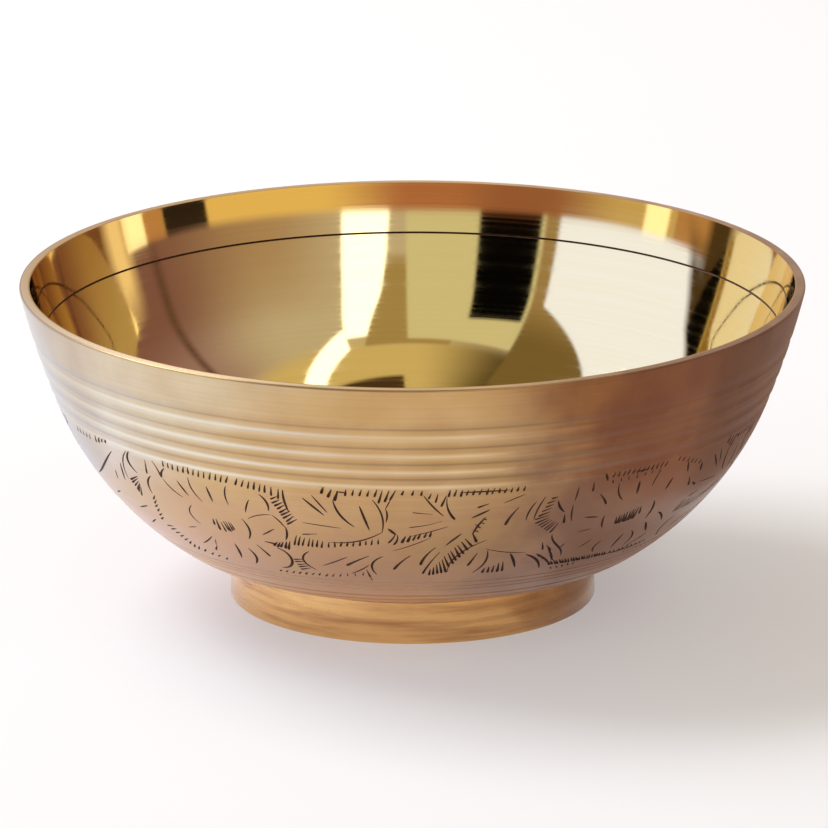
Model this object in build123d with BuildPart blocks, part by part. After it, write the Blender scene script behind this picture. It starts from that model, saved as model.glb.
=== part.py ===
"""Brass offering bowl: a turned bowl, a foot ring and the solder that joins them.

Millimetres, +Z up. The origin is the centre of the circle that the foot ring stands on.
"""
import os
from math import atan2, cos, degrees, radians, sin, sqrt, tan

from build123d import *

# Bowl: overall sizes
rim_diameter = 150.0
bowl_height = 61.5
wall = 2.0
rim_bevel = 0.4

# Bowl: the outside is a cone over the foot ring, then a heel arc, a belly arc and a nearly straight side
seat_angle = 16.3
seat_reach_out = 4.5
seat_reach_in = 2.5
heel_radius = 25.3
heel_angle = 35.0
belly_radius = 59.8
belly_angle = 68.0

# Bowl: turned coves and lines, with distances measured along the wall from the rim or from the top of the heel
cove_width = 2.1
cove_depth = 0.22
coves_below_rim = (9.4, 13.6, 17.2, 20.6)
line_width = 0.34
lines_above_heel = (6.9, 5.2)
line_below_heel_top = 1.7
inside_line_below_rim = 10.5

# Foot ring
foot_diameter = 70.0
foot_height = 8.1
foot_wall = 3.0
foot_taper = 0.2
foot_bevel = 0.4

# Solder between the foot ring and the bowl
solder_thickness = 0.2
solder_bead = 1.2

rim_radius = rim_diameter / 2
foot_radius = foot_diameter / 2
foot_top_radius = foot_radius - foot_taper
foot_bore_radius = foot_radius - foot_wall
seat_slope = tan(radians(seat_angle))


def foot_top(radius):
    """Height of the foot ring's sloping top at a radius."""
    return foot_height + (radius - foot_top_radius) * seat_slope


def seat(radius):
    """Height of the bowl's sloping seat at a radius: the solder lies between it and the foot ring."""
    return foot_top(radius) + solder_thickness


def place(curve, distance):
    """Point of a profile curve at a distance from its start, and the direction square to the curve there."""
    point = curve.position_at(distance, position_mode=PositionMode.LENGTH)
    along = curve.tangent_at(distance, position_mode=PositionMode.LENGTH)
    return point, Vector(along.Y, -along.X)


# The seat runs from inside the solder bead to just outside the foot ring
seat_inner_radius = foot_bore_radius - solder_bead - seat_reach_in
seat_outer_radius = foot_radius + seat_reach_out
under_radius = seat_inner_radius / sin(radians(seat_angle))
under_height = seat(seat_inner_radius) - under_radius * (1 - cos(radians(seat_angle)))
seat_end = Vector(seat_outer_radius, seat(seat_outer_radius))
seat_normal = Vector(-sin(radians(seat_angle)), cos(radians(seat_angle)))

# The round cutter that leaves a cove of the given width and depth, and the square one that leaves a line
cove_radius = (cove_width**2 / 4 + cove_depth**2) / (2 * cove_depth)
line_side = line_width / sqrt(2)

# Bowl shell
with BuildPart() as bowl_shell:
    with BuildSketch(Plane.XZ):
        with BuildLine():
            # outside, from the middle of the underside to the rim
            under = JernArc((0, under_height), (1, 0), under_radius, seat_angle)
            seat_line = Line(under @ 1, seat_end)
            heel = JernArc(seat_line @ 1, seat_line % 1, heel_radius, heel_angle - seat_angle)
            belly = JernArc(heel @ 1, heel % 1, belly_radius, belly_angle - heel_angle)
            side = TangentArc(belly @ 1, (rim_radius, bowl_height), tangent=belly % 1)
            rim = Line(side @ 1, (rim_radius - wall, bowl_height))
            # inside, the same arcs drawn in by the wall
            floor = JernArc((0, under_height + wall), (1, 0), under_radius - wall, seat_angle)
            floor_line = Line(floor @ 1, seat_end + seat_normal * wall)
            inner_heel = JernArc(floor_line @ 1, floor_line % 1, heel_radius - wall, heel_angle - seat_angle)
            inner_belly = JernArc(inner_heel @ 1, inner_heel % 1, belly_radius - wall, belly_angle - heel_angle)
            inner_side = TangentArc(inner_belly @ 1, rim @ 1, tangent=inner_belly % 1)
            Line(under @ 0, floor @ 0)
        make_face()
    revolve(axis=Axis.Z)

    # softened edges of the rim
    rim_edges = bowl_shell.edges().filter_by(GeomType.CIRCLE).group_by(Axis.Z)[-1]
    chamfer(rim_edges, rim_bevel)

    # shallow coves round the outside, below the rim
    with BuildSketch(Plane.XZ):
        for distance in coves_below_rim:
            point, outward = place(side, side.length - distance)
            with Locations(point + outward * (cove_radius - cove_depth)):
                Circle(cove_radius)
    revolve(axis=Axis.Z, mode=Mode.SUBTRACT)

    # fine turned lines: the border under the engraved band, the heel, and one inside below the rim
    line_places = [place(belly, distance) for distance in lines_above_heel]
    line_places.append(place(heel, heel.length - line_below_heel_top))
    line_places.append(place(inner_side, inner_side.length - inside_line_below_rim))
    with BuildSketch(Plane.XZ):
        for point, outward in line_places:
            lean = degrees(atan2(outward.Y, outward.X))
            with Locations(point):
                Rectangle(line_side, line_side, rotation=lean + 45)
    revolve(axis=Axis.Z, mode=Mode.SUBTRACT)

# Foot ring
with BuildPart() as foot_ring:
    with BuildSketch(Plane.XZ):
        with BuildLine():
            Polyline(
                (foot_bore_radius, 0),
                (foot_radius, 0),
                (foot_top_radius, foot_top(foot_top_radius)),
                (foot_bore_radius, foot_top(foot_bore_radius)),
                close=True,
            )
        make_face()
    revolve(axis=Axis.Z)
    standing_edges = foot_ring.edges().filter_by(GeomType.CIRCLE).group_by(Axis.Z)[0]
    chamfer(standing_edges, foot_bevel)

# Solder: a thin layer on the foot ring's top and a bead in the inner corner
with BuildPart() as solder_seam:
    with BuildSketch(Plane.XZ):
        with BuildLine():
            bead_radius = foot_bore_radius - solder_bead
            Polyline(
                (foot_bore_radius, foot_top(foot_bore_radius) - solder_bead),
                (foot_bore_radius, foot_top(foot_bore_radius)),
                (foot_top_radius, foot_top(foot_top_radius)),
                (foot_top_radius, seat(foot_top_radius)),
                (bead_radius, seat(bead_radius)),
                close=True,
            )
        make_face()
    revolve(axis=Axis.Z)

bowl_shell.part.label = "bowl_shell"
foot_ring.part.label = "foot_ring"
solder_seam.part.label = "solder_seam"

os.makedirs("parts", exist_ok=True)
export_step(bowl_shell.part, "parts/bowl_shell.step")
export_step(foot_ring.part, "parts/foot_ring.step")
export_step(solder_seam.part, "parts/solder_seam.step")
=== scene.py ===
# %% [markdown]
# # A brass offering bowl
# The bowl is cast in brass and turned on a lathe. Its inside is buffed to a mirror, its outside keeps a satin
# of fine turning lines, and a band of flowers and leaves is cut into the belly by hand. A low foot ring is
# brazed under it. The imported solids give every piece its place: metres, +Z up, the origin under the foot.

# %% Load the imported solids
import math
import random

import bpy
import numpy as np
from mathutils import Matrix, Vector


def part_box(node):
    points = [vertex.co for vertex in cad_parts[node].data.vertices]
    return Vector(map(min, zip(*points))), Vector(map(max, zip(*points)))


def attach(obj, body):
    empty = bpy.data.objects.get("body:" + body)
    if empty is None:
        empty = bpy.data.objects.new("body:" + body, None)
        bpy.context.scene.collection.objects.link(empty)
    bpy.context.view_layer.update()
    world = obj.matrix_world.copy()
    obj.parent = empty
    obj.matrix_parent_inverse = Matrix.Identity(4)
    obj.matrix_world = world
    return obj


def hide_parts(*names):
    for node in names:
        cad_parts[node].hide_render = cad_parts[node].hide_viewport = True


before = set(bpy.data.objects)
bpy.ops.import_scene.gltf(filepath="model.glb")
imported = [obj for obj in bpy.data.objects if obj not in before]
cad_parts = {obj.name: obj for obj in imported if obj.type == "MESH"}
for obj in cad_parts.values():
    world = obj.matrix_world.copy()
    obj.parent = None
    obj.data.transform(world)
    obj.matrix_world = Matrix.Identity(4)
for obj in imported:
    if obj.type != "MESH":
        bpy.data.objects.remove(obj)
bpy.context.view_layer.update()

MM = 0.001
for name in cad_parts:
    low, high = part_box(name)
    print(name, [f"{(b - a) / MM:.2f} mm" for a, b in zip(low, high)])

# %% [markdown]
# ## Three helpers
# Colours are written as sRGB hex values, as a paint program shows them, and Blender's sockets want linear
# light. One function turns the first into the second, another adds a node with its settings and its links,
# and a third starts a Geometry Nodes tree with its named inputs.

# %% Helpers


def linear(hex_colour):
    """Linear red, green, blue and alpha of an sRGB hex colour."""
    channels = [int(hex_colour[i:i + 2], 16) / 255 for i in (1, 3, 5)]
    return [c / 12.92 if c <= 0.04045 else ((c + 0.055) / 1.055) ** 2.4 for c in channels] + [1.0]


def node(tree, kind, inputs=None, **settings):
    """Adds a node, sets its properties, and gives each named or numbered input a value or a link."""
    made = tree.nodes.new(kind)
    for name, value in settings.items():
        setattr(made, name, value)
    for key, value in (inputs or {}).items():
        if isinstance(value, bpy.types.NodeSocket):
            tree.links.new(value, made.inputs[key])
        else:
            made.inputs[key].default_value = value
    return made


def new_tree(name, inputs, output):
    """A Geometry Nodes tree with inputs of given kinds and one geometry output, and its input sockets."""
    tree = bpy.data.node_groups.new(name, "GeometryNodeTree")
    for label, kind in inputs.items():
        tree.interface.new_socket(label, in_out="INPUT", socket_type="NodeSocket" + kind)
    tree.interface.new_socket(output, in_out="OUTPUT", socket_type="NodeSocketGeometry")
    return tree, node(tree, "NodeGroupInput").outputs


print("linear mid grey:", [round(c, 3) for c in linear("#808080")])

# %% [markdown]
# ## The wall's line
# A turner follows one line: a shallow dome under the bowl, a cone that sits on the foot ring, a tight heel,
# a round belly and a nearly straight side up to the rim. Each bend runs on smoothly from the last, so an
# arc needs only a radius and the angle at which it ends. The line is kept as a dense row of points with its
# heading, so that a place on it can be asked for by its distance. Sizes of the bowl are in millimetres.

# %% The wall's line
rim_radius = 75.0
bowl_height = 61.5
wall = 2.0
seat_angle, heel_angle, belly_angle = (math.radians(a) for a in (16.3, 35.0, 68.0))
heel_radius = 25.3
belly_radius = 59.8
seat_inner_radius = 28.3
seat_outer_radius = 39.5
foot_radius = 35.0
foot_height = 8.1
foot_taper = 0.2
solder_thickness = 0.2
bend_points = 240


def seat_height(radius):
    """Height of the bowl's sloping seat, one layer of solder above the foot ring's top."""
    return foot_height + solder_thickness + (radius - foot_radius + foot_taper) * math.tan(seat_angle)


def bend(start, heading, radius, turn):
    """Rows of r, z and heading along an arc that turns upwards."""
    t = heading + np.linspace(0, turn, bend_points)
    r = start[0] + radius * (np.sin(t) - math.sin(heading))
    z = start[1] + radius * (math.cos(heading) - np.cos(t))
    return np.column_stack([r, z, t])


dome_radius = seat_inner_radius / math.sin(seat_angle)
dome_height = seat_height(seat_inner_radius) - dome_radius * (1 - math.cos(seat_angle))
dome = bend((0, dome_height), 0, dome_radius, seat_angle)
heel_foot = (seat_outer_radius, seat_height(seat_outer_radius))
heel = bend(heel_foot, seat_angle, heel_radius, heel_angle - seat_angle)
belly = bend(heel[-1, :2], heel_angle, belly_radius, belly_angle - heel_angle)
to_rim = np.array([rim_radius, bowl_height]) - belly[-1, :2]
ahead = to_rim @ [math.cos(belly_angle), math.sin(belly_angle)]
aside = to_rim @ [-math.sin(belly_angle), math.cos(belly_angle)]
side_radius = to_rim @ to_rim / (2 * aside)
side = bend(belly[-1, :2], belly_angle, side_radius, 2 * math.atan2(aside, ahead))

line = np.concatenate([dome, heel, belly[1:], side[1:]])
line_distance = np.concatenate([[0], np.cumsum(np.hypot(*np.diff(line[:, :2], axis=0).T))])
heel_top = line_distance[len(dome) + len(heel) - 1]
rim_distance = line_distance[-1]


def on_wall(distance, inwards=0.0):
    """Points r, z at distances along the line, moved square to it towards the inside of the bowl."""
    r, z, heading = (np.interp(distance, line_distance, line[:, column]) for column in range(3))
    return np.column_stack([r - inwards * np.sin(heading), z + inwards * np.cos(heading)])


print(f"line {rim_distance:.1f} mm long, heel ends at {heel_top:.1f} mm, side radius {side_radius:.0f} mm")

# %% [markdown]
# ## The bowl's profile
# Four shallow coves run round under the rim, and a few hair-fine lines near the heel and inside the rim. They
# are cut into the profile itself as a depth below the line, so the light finds real edges. A cove is a little
# steeper at its bottom.

# %% The bowl's profile
cove_width = 2.5
cove_depth = 0.2
cove_low_share = 0.36
cove_stops = 13
coves = [rim_distance - d for d in (9.4, 13.6, 17.2, 20.6)]
turned_line_width = 0.4
turned_line_depth = 0.2
lines_from_heel_top = ((6.9, 0.4), (5.2, 0.4), (3.6, 0.4), (0.1, 0.9), (-2.8, 1.5))
outside_lines = [(heel_top + distance, width) for distance, width in lines_from_heel_top]
inside_line = rim_distance - 10.5
lip_round = 0.5
corner_points = 4
mirror_corner_points = 3
under_step, outside_step, inside_step = 2.6, 1.25, 1.7
clear_of_cuts = 0.4
tiny = 1e-9


def depth_below(distance):
    """How deep the turned coves and lines are at distances along the outside."""
    depth = np.zeros_like(distance)
    for middle in coves:
        up = np.clip((distance - middle) / cove_width + 0.5, 0, 1)
        low_part = 1 - up / cove_low_share
        high_part = (up - cove_low_share) / (1 - cove_low_share)
        from_deepest = np.where(up < cove_low_share, low_part, high_part)
        depth += cove_depth * np.cos(math.pi / 2 * from_deepest)
    for middle, width in outside_lines:
        depth += turned_line_depth * np.clip(1 - np.abs(distance - middle) / (width / 2), 0, 1)
    return depth


def steps(start, end, step):
    """Evenly spaced distances from start to end, about a step apart."""
    return np.linspace(start, end, math.ceil((end - start) / step) + 1)


def corner(before, at, after):
    """Points of a rounded corner, without its two ends."""
    t = np.linspace(0, 1, corner_points + 2)[1:-1, None]
    return (1 - t) ** 2 * before + 2 * t * (1 - t) * at + t**2 * after


def stops(evenly, cuts):
    """Distances in order: the stops of every cut, and the even ones that keep clear of them."""
    taken = [(cut[0] - clear_of_cuts, cut[-1] + clear_of_cuts) for cut in cuts]
    spaced = [s for s in evenly if all(s < start or s > end for start, end in taken)]
    return np.sort(np.concatenate([spaced, *cuts]))


lip = rim_distance - lip_round
heel_start = heel_top - heel_radius * (heel_angle - seat_angle)
across_line = np.array([-0.5, 0, 0.5])
across_cove = np.linspace(-cove_width / 2, cove_width / 2, cove_stops)
cuts = [middle + across_cove for middle in coves]
cuts += [middle + width * across_line for middle, width in outside_lines]
under, above = steps(0, heel_start, under_step), steps(heel_start, lip, outside_step)
outside_stops = stops([*under, *above[1:]], cuts)
outside = on_wall(outside_stops, depth_below(outside_stops))

inside_stops = stops(steps(0, lip, inside_step), [inside_line + turned_line_width * across_line])[::-1]
line_cut = turned_line_depth * (np.abs(inside_stops - inside_line) < tiny)
inside = on_wall(inside_stops, wall - line_cut)

lip_outside = np.array([rim_radius, bowl_height])
lip_inside = np.array([rim_radius - wall, bowl_height])
lip_width = np.array([lip_round, 0])
top = np.array([lip_outside - lip_width, lip_inside + lip_width])
profile = np.concatenate([outside, corner(outside[-1], lip_outside, top[0]), top,
                          corner(top[1], lip_inside, inside[0]), inside])
inside_from = len(profile) - len(inside) - mirror_corner_points
print(f"profile of {len(profile)} points, the inside from point {inside_from}")

# %% [markdown]
# ## Dirt, painted shade and painted highlights
# Old polish and dirt stay in the lines. Shade is painted along the top of each cove and the lip's outer
# edge, and highlights are painted along the low edge of each cove and on the top of the lip. Each point of
# the profile carries that as one number, above 0 for dirt and painted shade and below 0 for a painted
# highlight. Places and reaches in a cove are shares of its width, from its middle.

# %% Dirt, painted shade and painted highlights on the profile
inside_line_dirt = 1.0
outside_line_dirt = 0.7
# The top of each cove is painted darker as shade, and its low edge paler as a highlight.
cove_shade, cove_shade_place, cove_shade_reach = 0.4, 0.36, 0.2
cove_highlight, cove_highlight_place, cove_highlight_reach = 0.55, -0.38, 0.24
# The lip's outer edge is painted darker as shade, and its top paler as a highlight.
lip_edge_shade = 0.35
lip_highlight = 1.0

# One number for each point: above 0 for dirt in the lines and for painted shade, below 0 for painted
# highlights.
dirt = np.zeros(len(profile))
dirt[-len(inside):][np.abs(inside_stops - inside_line) < turned_line_width] = inside_line_dirt
outside_dirt_and_painted_light = dirt[:len(outside)]
for middle, _ in outside_lines:
    outside_dirt_and_painted_light[np.abs(outside_stops - middle) < tiny] = outside_line_dirt
# Painted shade near the top of each cove, and a painted highlight near its low edge.
for middle in coves:
    up = (outside_stops - middle) / cove_width
    outside_dirt_and_painted_light += cove_shade * np.clip(1 - np.abs(up - cove_shade_place) / cove_shade_reach, 0, 1)
    outside_dirt_and_painted_light -= cove_highlight * np.clip(1 - np.abs(up - cove_highlight_place) / cove_highlight_reach, 0, 1)
# Painted shade on the lip's outer edge, and a painted highlight on its top.
lip_edge_end = len(outside) + corner_points
dirt[len(outside):lip_edge_end] = lip_edge_shade
dirt[lip_edge_end:inside_from] = -lip_highlight
print("dirt on", np.sum(dirt > 0), "points of the profile,", np.sum(dirt < 0), "rubbed bright")

# %% [markdown]
# ## Turning
# On the lathe the work spins against the tool. Here a grid has one column for each small turn and one row
# for each point of the profile: every grid point takes its radius and height from the profile and is turned
# about Z. Merging the first column with the last, and the points on the axis, closes the shell.

# %% The lathe: a Geometry Nodes tree
segments = 240
merge_distance = 0.001 * MM
dark_line_dirt = 0.75


def lathe_tree():
    """A tree that turns a row of profile points about Z, with a finish outside, inside and in dark lines."""
    tree, given = new_tree("turn on the lathe", {
        "Profile": "Geometry", "Segments": "Int", "Inside from": "Int", "Outside finish": "Material",
        "Inside finish": "Material", "Line finish": "Material"}, "Piece")
    rows = node(tree, "GeometryNodeAttributeDomainSize", {0: given["Profile"]}).outputs["Point Count"]
    columns = node(tree, "ShaderNodeMath", {0: given["Segments"], 1: 1.0}).outputs[0]
    grid = node(tree, "GeometryNodeMeshGrid", {"Vertices X": columns, "Vertices Y": rows}).outputs["Mesh"]
    index = node(tree, "GeometryNodeInputIndex").outputs[0]
    row = node(tree, "ShaderNodeMath", {0: index, 1: rows}, operation="MODULO").outputs[0]
    part = node(tree, "ShaderNodeMath", {0: index, 1: rows}, operation="DIVIDE").outputs[0]
    column = node(tree, "ShaderNodeMath", {0: part}, operation="FLOOR").outputs[0]
    share = node(tree, "ShaderNodeMath", {0: column, 1: given["Segments"]}, operation="DIVIDE").outputs[0]
    angle = node(tree, "ShaderNodeMath", {0: share, 1: math.tau}, operation="MULTIPLY").outputs[0]
    place = node(tree, "GeometryNodeInputPosition").outputs[0]
    point = node(tree, "GeometryNodeSampleIndex", {0: given["Profile"], "Index": row},
                 data_type="FLOAT_VECTOR")
    tree.links.new(place, point.inputs["Value"])
    turned = node(tree, "ShaderNodeVectorRotate", {"Vector": point.outputs[0], "Angle": angle},
                  rotation_type="Z_AXIS").outputs[0]
    # Each row takes the profile's number for dirt, painted shade and painted highlights onto the shell.
    dirt_and_light_here = node(tree, "GeometryNodeInputNamedAttribute", {"Name": "dirt"}, data_type="FLOAT").outputs[0]
    sampled_dirt_and_light = node(tree, "GeometryNodeSampleIndex", {0: given["Profile"], 1: dirt_and_light_here, "Index": row},
                        data_type="FLOAT").outputs[0]
    kept = node(tree, "GeometryNodeStoreNamedAttribute", {"Geometry": grid, "Name": "row", "Value": row},
                data_type="FLOAT", domain="POINT").outputs[0]
    kept = node(tree, "GeometryNodeStoreNamedAttribute", {"Geometry": kept, "Name": "dirt",
                                                          "Value": sampled_dirt_and_light},
                data_type="FLOAT", domain="POINT").outputs[0]
    spun = node(tree, "GeometryNodeSetPosition", {"Geometry": kept, "Position": turned}).outputs[0]
    closed = node(tree, "GeometryNodeMergeByDistance", {"Geometry": spun,
                                                        "Distance": merge_distance}).outputs[0]
    smooth = node(tree, "GeometryNodeSetShadeSmooth", {"Geometry": closed}).outputs[0]
    real = node(tree, "GeometryNodeRealizeInstances", {"Geometry": smooth}).outputs[0]
    first = node(tree, "GeometryNodeSetMaterial", {"Geometry": real,
                                                   "Material": given["Outside finish"]}).outputs[0]
    row_here = node(tree, "GeometryNodeInputNamedAttribute", {"Name": "row"}, data_type="FLOAT").outputs[0]
    is_inside = node(tree, "FunctionNodeCompare", {0: row_here, 1: given["Inside from"]},
                     data_type="FLOAT", operation="GREATER_THAN").outputs[0]
    both = node(tree, "GeometryNodeSetMaterial", {"Geometry": first, "Selection": is_inside,
                                                  "Material": given["Inside finish"]}).outputs[0]
    is_line = node(tree, "FunctionNodeCompare", {0: dirt_and_light_here, 1: dark_line_dirt},
                   data_type="FLOAT", operation="GREATER_THAN").outputs[0]
    lined = node(tree, "GeometryNodeSetMaterial", {"Geometry": both, "Selection": is_line,
                                                   "Material": given["Line finish"]}).outputs[0]
    node(tree, "NodeGroupOutput", {0: lined})
    return tree


def with_nodes(piece, tree, values):
    """Adds a Geometry Nodes modifier and sets its inputs by their identifiers."""
    modifier = piece.modifiers.new(tree.name, "NODES")
    modifier.node_group = tree
    sockets = {s.name: s.identifier for s in tree.interface.items_tree if s.in_out == "INPUT"}
    for name, value in values.items():
        modifier[sockets[name]] = value


def made_plain(piece, name):
    """A new object with the evaluated mesh of a piece, which is then removed."""
    ready = piece.evaluated_get(bpy.context.evaluated_depsgraph_get())
    mesh = bpy.data.meshes.new_from_object(ready)
    mesh.name = name
    for slot in reversed(range(len(mesh.materials))):
        if mesh.materials[slot] is None:
            mesh.materials.pop(index=slot)
    old = piece.data
    bpy.data.objects.remove(piece)
    (bpy.data.meshes if isinstance(old, bpy.types.Mesh) else bpy.data.curves).remove(old)
    plain = bpy.data.objects.new(name, mesh)
    bpy.context.collection.objects.link(plain)
    return plain


def row_of_points(name, points, dirt=()):
    """An object with r, z points in millimetres as a chain of edges in the XZ plane, with their dirt."""
    mesh = bpy.data.meshes.new(name)
    vertices = [(r * MM, 0, z * MM) for r, z in points]
    mesh.from_pydata(vertices, [(i, i + 1) for i in range(len(vertices) - 1)], [])
    marks = mesh.attributes.new("dirt", "FLOAT", "POINT").data
    for mark, value in zip(marks, dirt):
        mark.value = value
    chain = bpy.data.objects.new(name, mesh)
    bpy.context.collection.objects.link(chain)
    return chain


lathe = lathe_tree()
print("tree made:", lathe.name, "with", len(lathe.nodes), "nodes")

# %% [markdown]
# ## The graver's strokes
# The band is cut freehand with a graver: a push makes a thin line that widens, and a flick at its end
# leaves a deep round head. Outlines and veins are single strokes, and the ground beside the petals and
# leaves is darkened with rows of short dashes, like the teeth of a comb. A stroke is drawn flat, as places
# given by degrees round the bowl from its front and millimetres up the wall from the heel, with a width at
# each place.

# %% Three kinds of stroke
band_radius = 63.0
hair, fine, bold, deep = 0.26, 0.38, 0.52, 0.66
stroke_step, fewest_places, highest_power = 0.7, 4, 3
thin_end, push_swell, flick_growth = 0.3, 0.7, 0.85
head_end, head_end_width = 0.95, 0.6
hand_shake, uneven_width = 0.12, (0.85, 1.15)
chance = random.Random(7)


def through(points):
    """A smooth row of places through a few given ones, and how far along each is, from 0 to 1."""
    points = np.array(points, dtype=float)
    flat = points * [math.radians(band_radius), 1]
    along = np.concatenate([[0], np.cumsum(np.hypot(*np.diff(flat, axis=0).T))])
    t = np.linspace(0, along[-1], max(fewest_places, math.ceil(along[-1] / stroke_step) + 1))
    power = min(len(points) - 1, highest_power)
    smooth = np.column_stack([np.polyval(np.polyfit(along, points[:, axis], power), t) for axis in (0, 1)])
    return smooth, t / along[-1]


def push(width, *points):
    """A stroke that is widest in its middle and runs out thin at both ends."""
    places, t = through(points)
    return places, width * (thin_end + (1 - thin_end) * np.sin(math.pi * np.clip(t, 0, 1)) ** push_swell)


def flick(width, *points):
    """A stroke that starts thin and ends in a deep head."""
    places, t = through(points)
    return places, width * (thin_end + flick_growth * t) * np.where(t > head_end, head_end_width, 1)


def comb(width, count, first, last):
    """A row of dashes that changes evenly from the first dash, a start and an end, to the last."""
    row = []
    for t in np.linspace(0, 1, count):
        start, end = ((1 - t) * np.array(a) + t * np.array(b) for a, b in zip(first, last))
        shake = [chance.uniform(-hand_shake, hand_shake) for _ in range(4)]
        row.append(flick(width * chance.uniform(*uneven_width), start + shake[:2], end + shake[2:]))
    return row


print("stroke widths in mm:", hair, fine, bold, deep)

# %% [markdown]
# ## Two blossoms and a spray
# Five blossoms stand round the belly, with a spray of leaves between each two. The blossom has an oval eye
# of close strokes, two brackets beside it, and petals that are drawn by their veins and by the dashes round
# them. Nothing cut by hand is twice alike, so there are two drawings of the blossom and two of the spray.

# %% The left blossom
left_blossom = [
    # the eye and its two brackets
    flick(deep, (-36.4, 23.0), (-36.7, 21.2)), flick(deep, (-35.7, 23.1), (-36.0, 19.9)),
    flick(bold, (-34.9, 22.5), (-34.8, 19.7)), flick(bold, (-34.3, 22.9), (-34.0, 20.2)),
    flick(bold, (-33.8, 23.0), (-33.6, 20.0)), flick(bold, (-33.2, 23.0), (-33.1, 20.4)),
    flick(bold, (-32.8, 22.8), (-32.6, 20.8)),
    push(fine, (-40.0, 25.6), (-41.4, 22.7), (-40.2, 20.4)),
    push(bold, (-30.0, 24.6), (-29.3, 22.0), (-30.4, 18.7)),
    # veins of the upper petals
    push(bold, (-41.1, 31.4), (-40.5, 30.0), (-39.7, 28.1)),
    push(fine, (-38.3, 33.0), (-38.4, 30.6), (-37.0, 27.3)),
    push(bold, (-35.0, 31.6), (-34.7, 27.9)), push(fine, (-31.0, 32.7), (-31.7, 30.2), (-31.6, 27.9)),
    push(fine, (-27.3, 30.1), (-28.1, 28.4), (-28.7, 26.6)),
    push(hair, (-28.8, 24.8), (-26.2, 26.4), (-23.9, 26.9)),
    push(fine, (-24.2, 23.0), (-27.0, 20.7)),
    # veins of the lower petals
    push(fine, (-39.4, 16.9), (-41.4, 15.0), (-43.6, 13.4)), push(hair, (-38.9, 16.2), (-40.0, 13.8)),
    flick(bold, (-39.8, 13.8), (-41.3, 11.9)), push(deep, (-34.5, 16.1), (-34.6, 13.8), (-35.3, 11.1)),
    push(deep, (-31.8, 15.4), (-31.2, 13.2), (-32.6, 9.8)),
    flick(deep, (-29.3, 17.2), (-28.4, 15.4), (-27.7, 13.7)),
    push(hair, (-44.4, 18.1), (-41.9, 19.0)),
    # outline on the left
    flick(bold, (-47.3, 34.4), (-47.7, 32.6), (-48.1, 31.0)),
    push(bold, (-47.4, 30.6), (-49.0, 28.6), (-49.4, 25.6)),
    flick(bold, (-45.5, 34.8), (-44.8, 32.8), (-44.6, 31.2)),
    flick(deep, (-43.1, 33.7), (-44.1, 32.5), (-44.6, 31.2)),
    push(fine, (-44.4, 31.0), (-43.3, 29.0), (-41.2, 27.3)),
    *comb(bold, 6, ((-48.9, 25.4), (-50.2, 24.0)), ((-50.7, 18.8), (-52.4, 17.7))),
    *comb(bold, 7, ((-49.6, 16.6), (-52.0, 16.0)), ((-47.2, 11.8), (-48.8, 10.0))),
    *comb(bold, 5, ((-46.2, 11.2), (-47.9, 9.7)), ((-39.7, 9.6), (-40.9, 8.6))),
    # dashes along the top of the band
    *comb(bold, 13, ((-42.9, 35.4), (-43.2, 34.0)), ((-30.2, 35.2), (-30.7, 33.4))),
    *comb(bold, 6, ((-28.4, 34.9), (-29.0, 33.3)), ((-23.6, 34.4), (-24.0, 32.4))),
    flick(bold, (-22.7, 34.1), (-23.0, 31.9)), flick(bold, (-21.5, 33.8), (-21.9, 31.3)),
    # outline and hatching on the right
    push(bold, (-25.2, 31.9), (-24.1, 30.0), (-24.2, 27.9)),
    push(fine, (-23.8, 26.9), (-22.7, 25.4), (-22.0, 23.7)),
    push(bold, (-21.9, 24.0), (-22.0, 22.1), (-22.7, 20.1)),
    push(bold, (-20.8, 33.7), (-20.9, 31.0), (-20.5, 28.2)),
    *comb(bold, 9, ((-22.0, 31.8), (-23.4, 30.9)), ((-19.4, 26.6), (-21.3, 24.7))),
    flick(deep, (-27.2, 18.7), (-25.1, 18.4)),
    *comb(deep, 5, ((-24.6, 19.0), (-25.6, 17.6)), ((-22.0, 19.8), (-22.9, 17.2))),
    push(deep, (-25.2, 17.2), (-23.3, 14.8), (-23.6, 12.2), (-26.5, 10.0)),
    *comb(bold, 5, ((-20.6, 14.4), (-22.9, 13.9)), ((-20.0, 11.2), (-22.4, 10.2))),
]
print("left blossom:", len(left_blossom), "strokes")

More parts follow.
